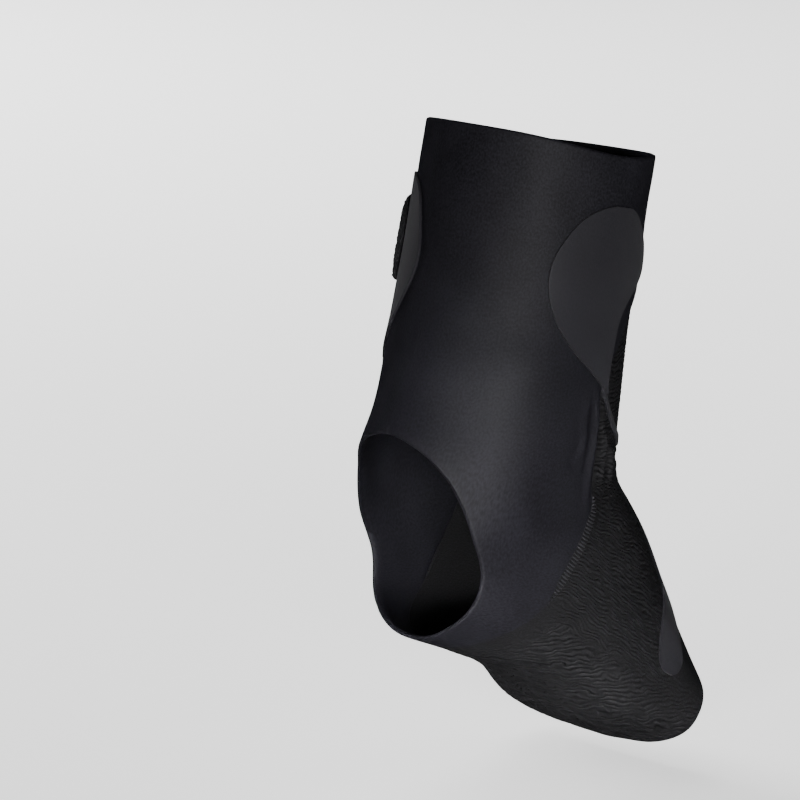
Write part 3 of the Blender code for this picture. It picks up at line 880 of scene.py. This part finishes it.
def broken(turns, u, v, share, swing, seed):
    """How strong each rib is along its length: it fades in and out in short stretches."""
    place = np.stack([turns * 0.55, v * ROUND_LENGTH / 0.0042, u * ROW_LENGTH / 0.0042], -1)
    return np.clip(share + swing * ripples(place, 1.0, seed), 0.0, 1.1)


def ribs(u, v, seam_gap):
    """What the ribs do at each point: turns and strength of both sets."""
    place, _ = skin(u, v)
    mirrored = place * np.where(place[..., 1:2] > 0, (1, -1, 1), (1, 1, 1))
    waver = ripples(place, 0.012, 21) * 0.50 + ripples(place, 0.0040, 22) * 0.16
    level = place[..., 2] / LEVEL_PITCH + waver
    slant = mirrored @ SLANT_WAY / SLANT_PITCH + waver
    border = through(RIB_BORDER[:, 0], RIB_BORDER[:, 1], u)
    on_instep = ease(-0.035, 0.035, border - np.abs(v)) * ease(0.53, 0.60, u)
    toe_band = 1 - ease(0.915, 0.940, u) * (1 - ease(0.42, 0.54, np.abs(v)))
    edge = ease(0.002, 0.008, toe_line(v) - u)
    even = seam_gap * toe_band * edge
    level_ribs = even * (1 - on_instep) * broken(level, u, v, 0.70, 0.50, 23)
    slant_ribs = even * on_instep * broken(slant, u, v, 0.60, 0.80, 24)
    return level, slant, level_ribs, slant_ribs


def rib_profile(turns):
    """Height of a rib from -1 to 1: broad on top, with a narrow groove between two ribs."""
    return 1 - 2 * (0.5 - 0.5 * np.cos(2 * np.pi * turns)) ** 2


def knit_sink(u):
    """How far the knit lies below the shell's outside, down to nothing on the foot."""
    return KNIT_SINK * (1 - ease(0.60, 0.72, u))


def knit_sheet(u, v, seam_gap, free):
    """A sheet of knit, with its ribs as relief and as values."""
    level, slant, a, b = ribs(u, v, seam_gap)
    wave = rib_profile(level) * a + rib_profile(slant) * b
    return sheet_at(
        u, v, RIB_HEIGHT / 2 * wave - knit_sink(u), free=free,
        level_turns=level, slant_turns=slant, level_ribs=a, slant_ribs=b)


# %% Knit sheets
KNIT_WALL = 0.0022
UNDERLAP = 0.013          # how far the knit runs on under the shell, as a share v
KNIT_FRONT, ARCH_COUNT, KNIT_ROWS = 132, 112, 34
TOE_COUNT, TOE_FRONT, STRIP_COUNT = 236, 188, 34


def upper_knit_half(side):
    """Half of the knit over the ankle and the instep, its edge tucked under the shell."""
    v = np.linspace(0, SEAM_CORNER + UNDERLAP, KNIT_FRONT + 1)
    across = v / v[-1]
    low = FLANKS[0, 0] * (1 - across) + FLANKS[0, 1] * across
    cuff = cuff_line(np.minimum(v, SEAM_CORNER))
    top = cuff - UNDERLAP / 2
    u, vv = rows_between(np.stack([top, v], 1), np.stack([low, v], 1), ARCH_COUNT, True)
    near = ease(0.0, 0.012, u - cuff)
    made = [(u, vv * side, near, ends(u.shape))]
    rows = table_rows(FLANKS[:, :3], KNIT_ROWS)
    share = np.linspace(0, 1, KNIT_FRONT + 1)
    u = rows[:, :1] * (1 - share) + rows[:, 1:2] * share
    v = (rows[:, 2:3] + UNDERLAP * (1 - ease(0.69, 0.72, rows[:, 1:2]))) * share
    near = ease(0.0, 0.035, rows[:, 2:3] - v)
    made.append((u, v * side, near, ends(u.shape)))
    return made


def foot_knit_half(side):
    """Half of the knit round the foot, down to the toe edge."""
    front = np.linspace(0, 1, TOE_FRONT + 1)
    strip = table_rows(HEEL_STRIP[:, :2], STRIP_COUNT)[1:]
    high = np.concatenate([
        FLANKS[-1, 0] + (FLANKS[-1, 1] - FLANKS[-1, 0]) * front, strip[:, 0]])
    v = np.concatenate([FLANKS[-1, 2] * front, strip[:, 1]])
    u, vv = rows_between(np.stack([high, v], 1), np.stack([toe_line(v), v], 1), TOE_COUNT)
    smooth = ease(0.50, 0.66, v)
    near = 1 - smooth * (1 - ease(0.004, 0.050, u - high))
    return [(u, vv * side, near, ends(u.shape, bottom=1.0))]


def build_knit(name, lines):
    """Outside and lining of a piece of knit, joined into one wall."""
    outside = lay_sheets(name + "_outside", [knit_sheet(*line) for line in lines], 0.000005)
    inner = [sheet_at(u, v, -KNIT_WALL, free=free) for u, v, _, free in lines]
    lining = lay_sheets(name + "_lining", [thin(s) for s in inner])
    return close_cloth(name, outside, lining, KNIT_WALL, CLOTH_ROUNDING, FINISH["rib_knit"])


for word, side in (("outer", 1), ("inner", -1)):
    for place, lines in (("instep", upper_knit_half(side)), ("foot", foot_knit_half(side))):
        knit = build_knit(f"{word}_{place}_knit", lines)
        finish_piece(knit, "ribbed_front")

# %% [markdown]
# ## Tabs and straps
# Two teardrop tabs of thin film lie on the cuff, where the straps start.
# A tab is one grid between its front and back edges.
# Solidify gives it a wall, and Bevel gives it soft edges.
# The straps run from the tabs' tips to the front of the ankle, and one arm goes on down the instep.

# %% Outlines
TAB_LIFT = 0.0001
TAB_WALL = 0.0010
ARM_WALL = 0.0012
STRAP_WALL = 0.0008
PAD_WALL = 0.0028
FILM_EDGE = 0.00035       # width of the soft edge of a film
FILM_ANGLE = np.radians(50)
STRAP_WIDTH, INSTEP_TAB_WIDTH = 0.0040, 0.0130

# u, v of one long edge, v of the other
OUTER_TAB = np.array((
    (0.091, 0.410, 0.470), (0.097, 0.376, 0.510), (0.108, 0.347, 0.550),
    (0.125, 0.312, 0.585), (0.150, 0.268, 0.615), (0.180, 0.245, 0.640),
    (0.210, 0.290, 0.650), (0.240, 0.345, 0.645), (0.270, 0.378, 0.625),
    (0.300, 0.388, 0.590), (0.330, 0.392, 0.535), (0.355, 0.392, 0.468),
    (0.373, 0.388, 0.424), (0.386, 0.380, 0.400),
))
INNER_TAB = np.array((
    (0.088, -0.760, -0.700), (0.094, -0.810, -0.660), (0.105, -0.865, -0.625),
    (0.125, -0.900, -0.585), (0.150, -0.922, -0.550), (0.180, -0.940, -0.530),
    (0.210, -0.950, -0.525), (0.240, -0.945, -0.545), (0.270, -0.925, -0.580),
    (0.300, -0.893, -0.620), (0.330, -0.845, -0.655), (0.355, -0.795, -0.680),
    (0.375, -0.750, -0.695), (0.390, -0.728, -0.705),
))
INNER_PAD = np.array((
    (0.125, -0.735, -0.690), (0.136, -0.765, -0.650), (0.156, -0.778, -0.620),
    (0.185, -0.782, -0.605), (0.215, -0.782, -0.605), (0.240, -0.775, -0.620),
    (0.258, -0.755, -0.650), (0.266, -0.725, -0.685),
))
# u, v, share of the width
OUTER_STRAP = np.array((
    (0.375, 0.395, 0.90), (0.386, 0.384, 0.65), (0.400, 0.364, 0.50), (0.422, 0.328, 0.48),
    (0.443, 0.283, 0.50), (0.464, 0.212, 0.60), (0.480, 0.130, 0.80),
    (0.490, 0.070, 1.00), (0.496, 0.020, 1.00),
))
INNER_STRAP = np.array((
    (0.376, -0.722, 0.95), (0.391, -0.7165, 0.72), (0.405, -0.698, 0.60), (0.419, -0.652, 0.55),
    (0.433, -0.575, 0.58), (0.445, -0.480, 0.62), (0.456, -0.380, 0.70), (0.467, -0.280, 0.75),
    (0.479, -0.170, 0.90), (0.490, -0.075, 1.00), (0.496, -0.020, 1.00),
))
INSTEP_TAB = np.array((
    (0.490, 0.000, 0.00), (0.540, 0.000, 0.00), (0.600, 0.006, 0.00),
    (0.660, 0.016, 0.00), (0.720, 0.032, 0.00), (0.780, 0.062, 0.00),
    (0.830, 0.115, 0.00), (0.863, 0.185, 0.00), (0.878, 0.235, 0.18),
    (0.892, 0.290, 0.50), (0.905, 0.350, 0.86), (0.916, 0.400, 1.00),
    (0.924, 0.437, 0.92), (0.930, 0.462, 0.62), (0.9335, 0.476, 0.22),
    (0.9350, 0.483, -0.36),
))


# %% Patches and bands
def patch_at(rows, along, across, lift):
    """A patch between its front and back edges."""
    t = np.linspace(0, len(rows) - 1, along + 1)
    u, first, last = (through(range(len(rows)), column, t)[:, None] for column in rows.T)
    share = np.linspace(0, 1, across + 1)
    return sheet_at(u + 0 * share, first * (1 - share) + last * share, lift)


def band_at(u, v, width, across, lift):
    """A band along a line on the form, with its own width at each point."""
    step = 0.002
    place = bare_skin(u, v)
    down = (bare_skin(u + step, v) - bare_skin(u - step, v)) / (2 * step)
    around = (bare_skin(u, v + step) - bare_skin(u, v - step)) / (2 * step)
    normal = np.cross(around, down)
    way = np.cross(normal, np.gradient(place, axis=0))
    way *= (width / 2)[:, None] / np.linalg.norm(way, axis=1, keepdims=True)
    dd, aa, da = ((p * q).sum(1) for p, q in ((down, down), (around, around), (down, around)))
    wd, wa = (way * down).sum(1), (way * around).sum(1)
    du = ((wd * aa - wa * da) / (dd * aa - da * da))[:, None]
    dv = ((wa * dd - wd * da) / (dd * aa - da * da))[:, None]
    share = np.linspace(-1, 1, across + 1)
    return sheet_at(u[:, None] + du * share, v[:, None] + dv * share, lift)


def table_band(rows, along, narrow, wide, across, lift):
    """A band from a table, its width going from narrow to wide by the third column."""
    t = np.linspace(0, len(rows) - 1, along + 1)
    u, v, share = (through(range(len(rows)), column, t) for column in rows.T)
    sunk = knit_sink(u) * ease(0.0, 0.02, SEAM_CORNER - np.abs(v))
    return band_at(u, v, narrow + (wide - narrow) * share, across, (lift - sunk)[:, None])


def film(name, sheet, wall, soft, material):
    """A film: its grid gets a wall below it and soft edges."""
    piece = lay_sheets(name, [sheet])
    piece.data.materials.append(material)
    solid = piece.modifiers.new("wall", "SOLIDIFY")
    solid.thickness, solid.offset, solid.use_quality_normals = wall, -1.0, True
    edge = piece.modifiers.new("soft_edge", "BEVEL")
    edge.width, edge.segments, edge.angle_limit = soft, 3, FILM_ANGLE
    for modifier in ("wall", "soft_edge"):
        bpy.ops.object.modifier_apply(modifier=modifier)
    bpy.ops.object.shade_smooth_by_angle(angle=FILM_ANGLE)
    return piece


# %% Teardrop tabs
outer_tab = film(
    "outer_teardrop", patch_at(OUTER_TAB, 104, 48, TAB_LIFT + TAB_WALL),
    TAB_WALL, FILM_EDGE, FINISH["tab_film"])
finish_piece(outer_tab, "outer_tab")
inner_tab = film(
    "inner_teardrop", patch_at(INNER_TAB, 104, 48, TAB_LIFT + TAB_WALL),
    TAB_WALL, FILM_EDGE, FINISH["tab_film"])
finish_piece(inner_tab, "inner_tab")

# %% Straps and the arm down the instep
outer_strap = film(
    "outer_neck_strap",
    table_band(OUTER_STRAP, 110, 0.0, STRAP_WIDTH, 6, TAB_LIFT + STRAP_WALL),
    ARM_WALL, FILM_EDGE, FINISH["tab_film"])
finish_piece(outer_strap, "outer_strap")
inner_strap = film(
    "inner_neck_strap",
    table_band(INNER_STRAP, 150, 0.0, STRAP_WIDTH, 6, TAB_LIFT + STRAP_WALL),
    ARM_WALL, FILM_EDGE, FINISH["tab_film"])
finish_piece(inner_strap, "inner_strap")
instep_tab = film(
    "instep_arm_and_tab",
    table_band(INSTEP_TAB, 180, STRAP_WIDTH, INSTEP_TAB_WIDTH, 12, TAB_LIFT + TAB_WALL),
    ARM_WALL, FILM_EDGE, FINISH["tab_film"])
finish_piece(instep_tab, "instep_tab")

# %% [markdown]
# ## The pad on the inner tab
# A small pad of looped pile stands out on the inner tab, thickest in its middle.
# Its top is a fine patch with loops as relief, and its underside lies flat on the tab.

# %% Pad
PAD_ALONG, PAD_ACROSS = 96, 64
PAD_GAP = 0.0003          # clear space between tab and pad
LOOP_LENGTH, LOOP_HEIGHT = 0.0013, 0.00020
PAD_ROUNDING = 0.0004


def pad_sheets():
    """Top and underside of the pad."""
    base = TAB_LIFT + TAB_WALL + PAD_GAP
    top = patch_at(INNER_PAD, PAD_ALONG, PAD_ACROSS, 0.0)
    under = patch_at(INNER_PAD, PAD_ALONG, PAD_ACROSS, base)
    rows = np.linspace(-1, 1, PAD_ALONG + 1)[:, None]
    columns = np.linspace(-1, 1, PAD_ACROSS + 1)
    swell = (1.02 - np.abs(rows - 0.15) ** 2.4 / 1.4) * (1.02 - columns ** 4)
    crown = np.clip(swell, 0.04, 1) ** 0.6
    loops = ripples(top["points"], LOOP_LENGTH, 31) * LOOP_HEIGHT
    top["points"] = top["points"] + top["normals"] * (base + PAD_WALL * crown + loops)[..., None]
    return top, under


top, under = pad_sheets()
for sheet in (top, under):
    sheet["free"] = np.zeros(sheet["points"].shape[:2])
pad = close_cloth(
    "looped_pad", lay_sheets("pad_top", [top]), lay_sheets("pad_under", [thin(under)]),
    PAD_WALL, PAD_ROUNDING, FINISH["pad_texture"])
finish_piece(pad, "inner_pad")

# %% [markdown]
# ## Ladder seams
# Shell and knit are joined on each side of the foot by a flat seam.
# The threads cross it like the rungs of a ladder.
# One rung is modelled, and then copied along the seam at even steps over a thin tape.

# %% Rungs
SEAM_FROM, SEAM_TO = 7.0, 12.0
SEAM_WIDTH, RUNG_STEP = 0.0040, 0.00135
RUNG_RADIUS = 0.00046
RUNG_REACH = 0.47         # half the length of a rung, as a share of the seam's width
RUNG_LIFT = 0.00030
RUNG_SAG = 0.00016        # how far a rung sinks to the cloth at SAG_REACH
SAG_REACH = 0.46          # share of the seam's width
TAPE_STEP, TAPE_LIFT = 0.0006, 0.00010
TAPE_WALL, TAPE_EDGE = 0.0006, 0.0002


def one_rung():
    """A plump stitch across the seam, from a ball that is drawn long."""
    bpy.ops.object.select_all(action="DESELECT")
    bpy.ops.mesh.primitive_uv_sphere_add(segments=8, ring_count=8, radius=1.0)
    rung = bpy.context.object
    bpy.ops.object.mode_set(mode="EDIT")
    bpy.ops.mesh.select_all(action="SELECT")
    bpy.ops.transform.resize(value=(RUNG_RADIUS, RUNG_RADIUS, SEAM_WIDTH * RUNG_REACH))
    bpy.ops.object.mode_set(mode="OBJECT")
    for vert in rung.data.vertices:
        vert.co.y -= RUNG_SAG * (vert.co.z / (SEAM_WIDTH * SAG_REACH)) ** 2
    return rung


def seam_line(side, gap):
    """Even steps along a seam: shares u and v."""
    t = np.linspace(SEAM_FROM, SEAM_TO, 400)
    u, v = (through(range(len(FLANKS)), FLANKS[:, k], t) for k in (1, 2))
    run = np.linalg.norm(np.diff(bare_skin(u, v * side), axis=0), axis=1)
    run = np.concatenate([[0], np.cumsum(run)])
    even = np.linspace(0, run[-1], int(run[-1] / gap) + 1)
    return np.interp(even, run, u), np.interp(even, run, v) * side


def seam_taper(share):
    """Width of a seam along its length, as a share of its full width: narrow at both ends."""
    return ease(-0.05, 0.20, share) * ease(-0.05, 0.25, 1 - share)


def ladder_seam(name, side):
    """Tape and rungs of one seam, as one piece."""
    u, v = seam_line(side, TAPE_STEP)
    widths = SEAM_WIDTH * seam_taper(np.linspace(0, 1, len(u)))
    pieces = [film(
        name, band_at(u, v, widths, 6, TAPE_LIFT), TAPE_WALL, TAPE_EDGE,
        FINISH["rib_knit"])]
    u, v = seam_line(side, RUNG_STEP)
    points, normals = skin(u, v)
    ahead = np.gradient(points, axis=0)
    model = one_rung()
    for k in range(1, len(points) - 1):
        point, up, along = points[k], Vector(normals[k]), Vector(ahead[k]).normalized()
        narrow = float(seam_taper(k / (len(points) - 1)))
        across = along.cross(up).normalized()
        along = up.cross(across)
        turn = Matrix((along, up, across)).transposed().to_4x4()
        rung = model.copy()
        rung.data = model.data.copy()
        bpy.context.scene.collection.objects.link(rung)
        size = Matrix.Diagonal((1.0, 0.5 + 0.5 * narrow, narrow, 1.0))
        rung.data.transform(Matrix.Translation(Vector(point) + up * RUNG_LIFT) @ turn @ size)
        rung.data.materials.append(FINISH["seam_thread"])
        pieces.append(rung)
    bpy.data.objects.remove(model)
    for piece in pieces:
        piece.data.shade_smooth()
    select(pieces)
    bpy.ops.object.join()
    return pieces[0]


outer_seam = ladder_seam("outer_ladder_seam", 1)
finish_piece(outer_seam, "outer_seam")
inner_seam = ladder_seam("inner_ladder_seam", -1)
finish_piece(inner_seam, "inner_seam")
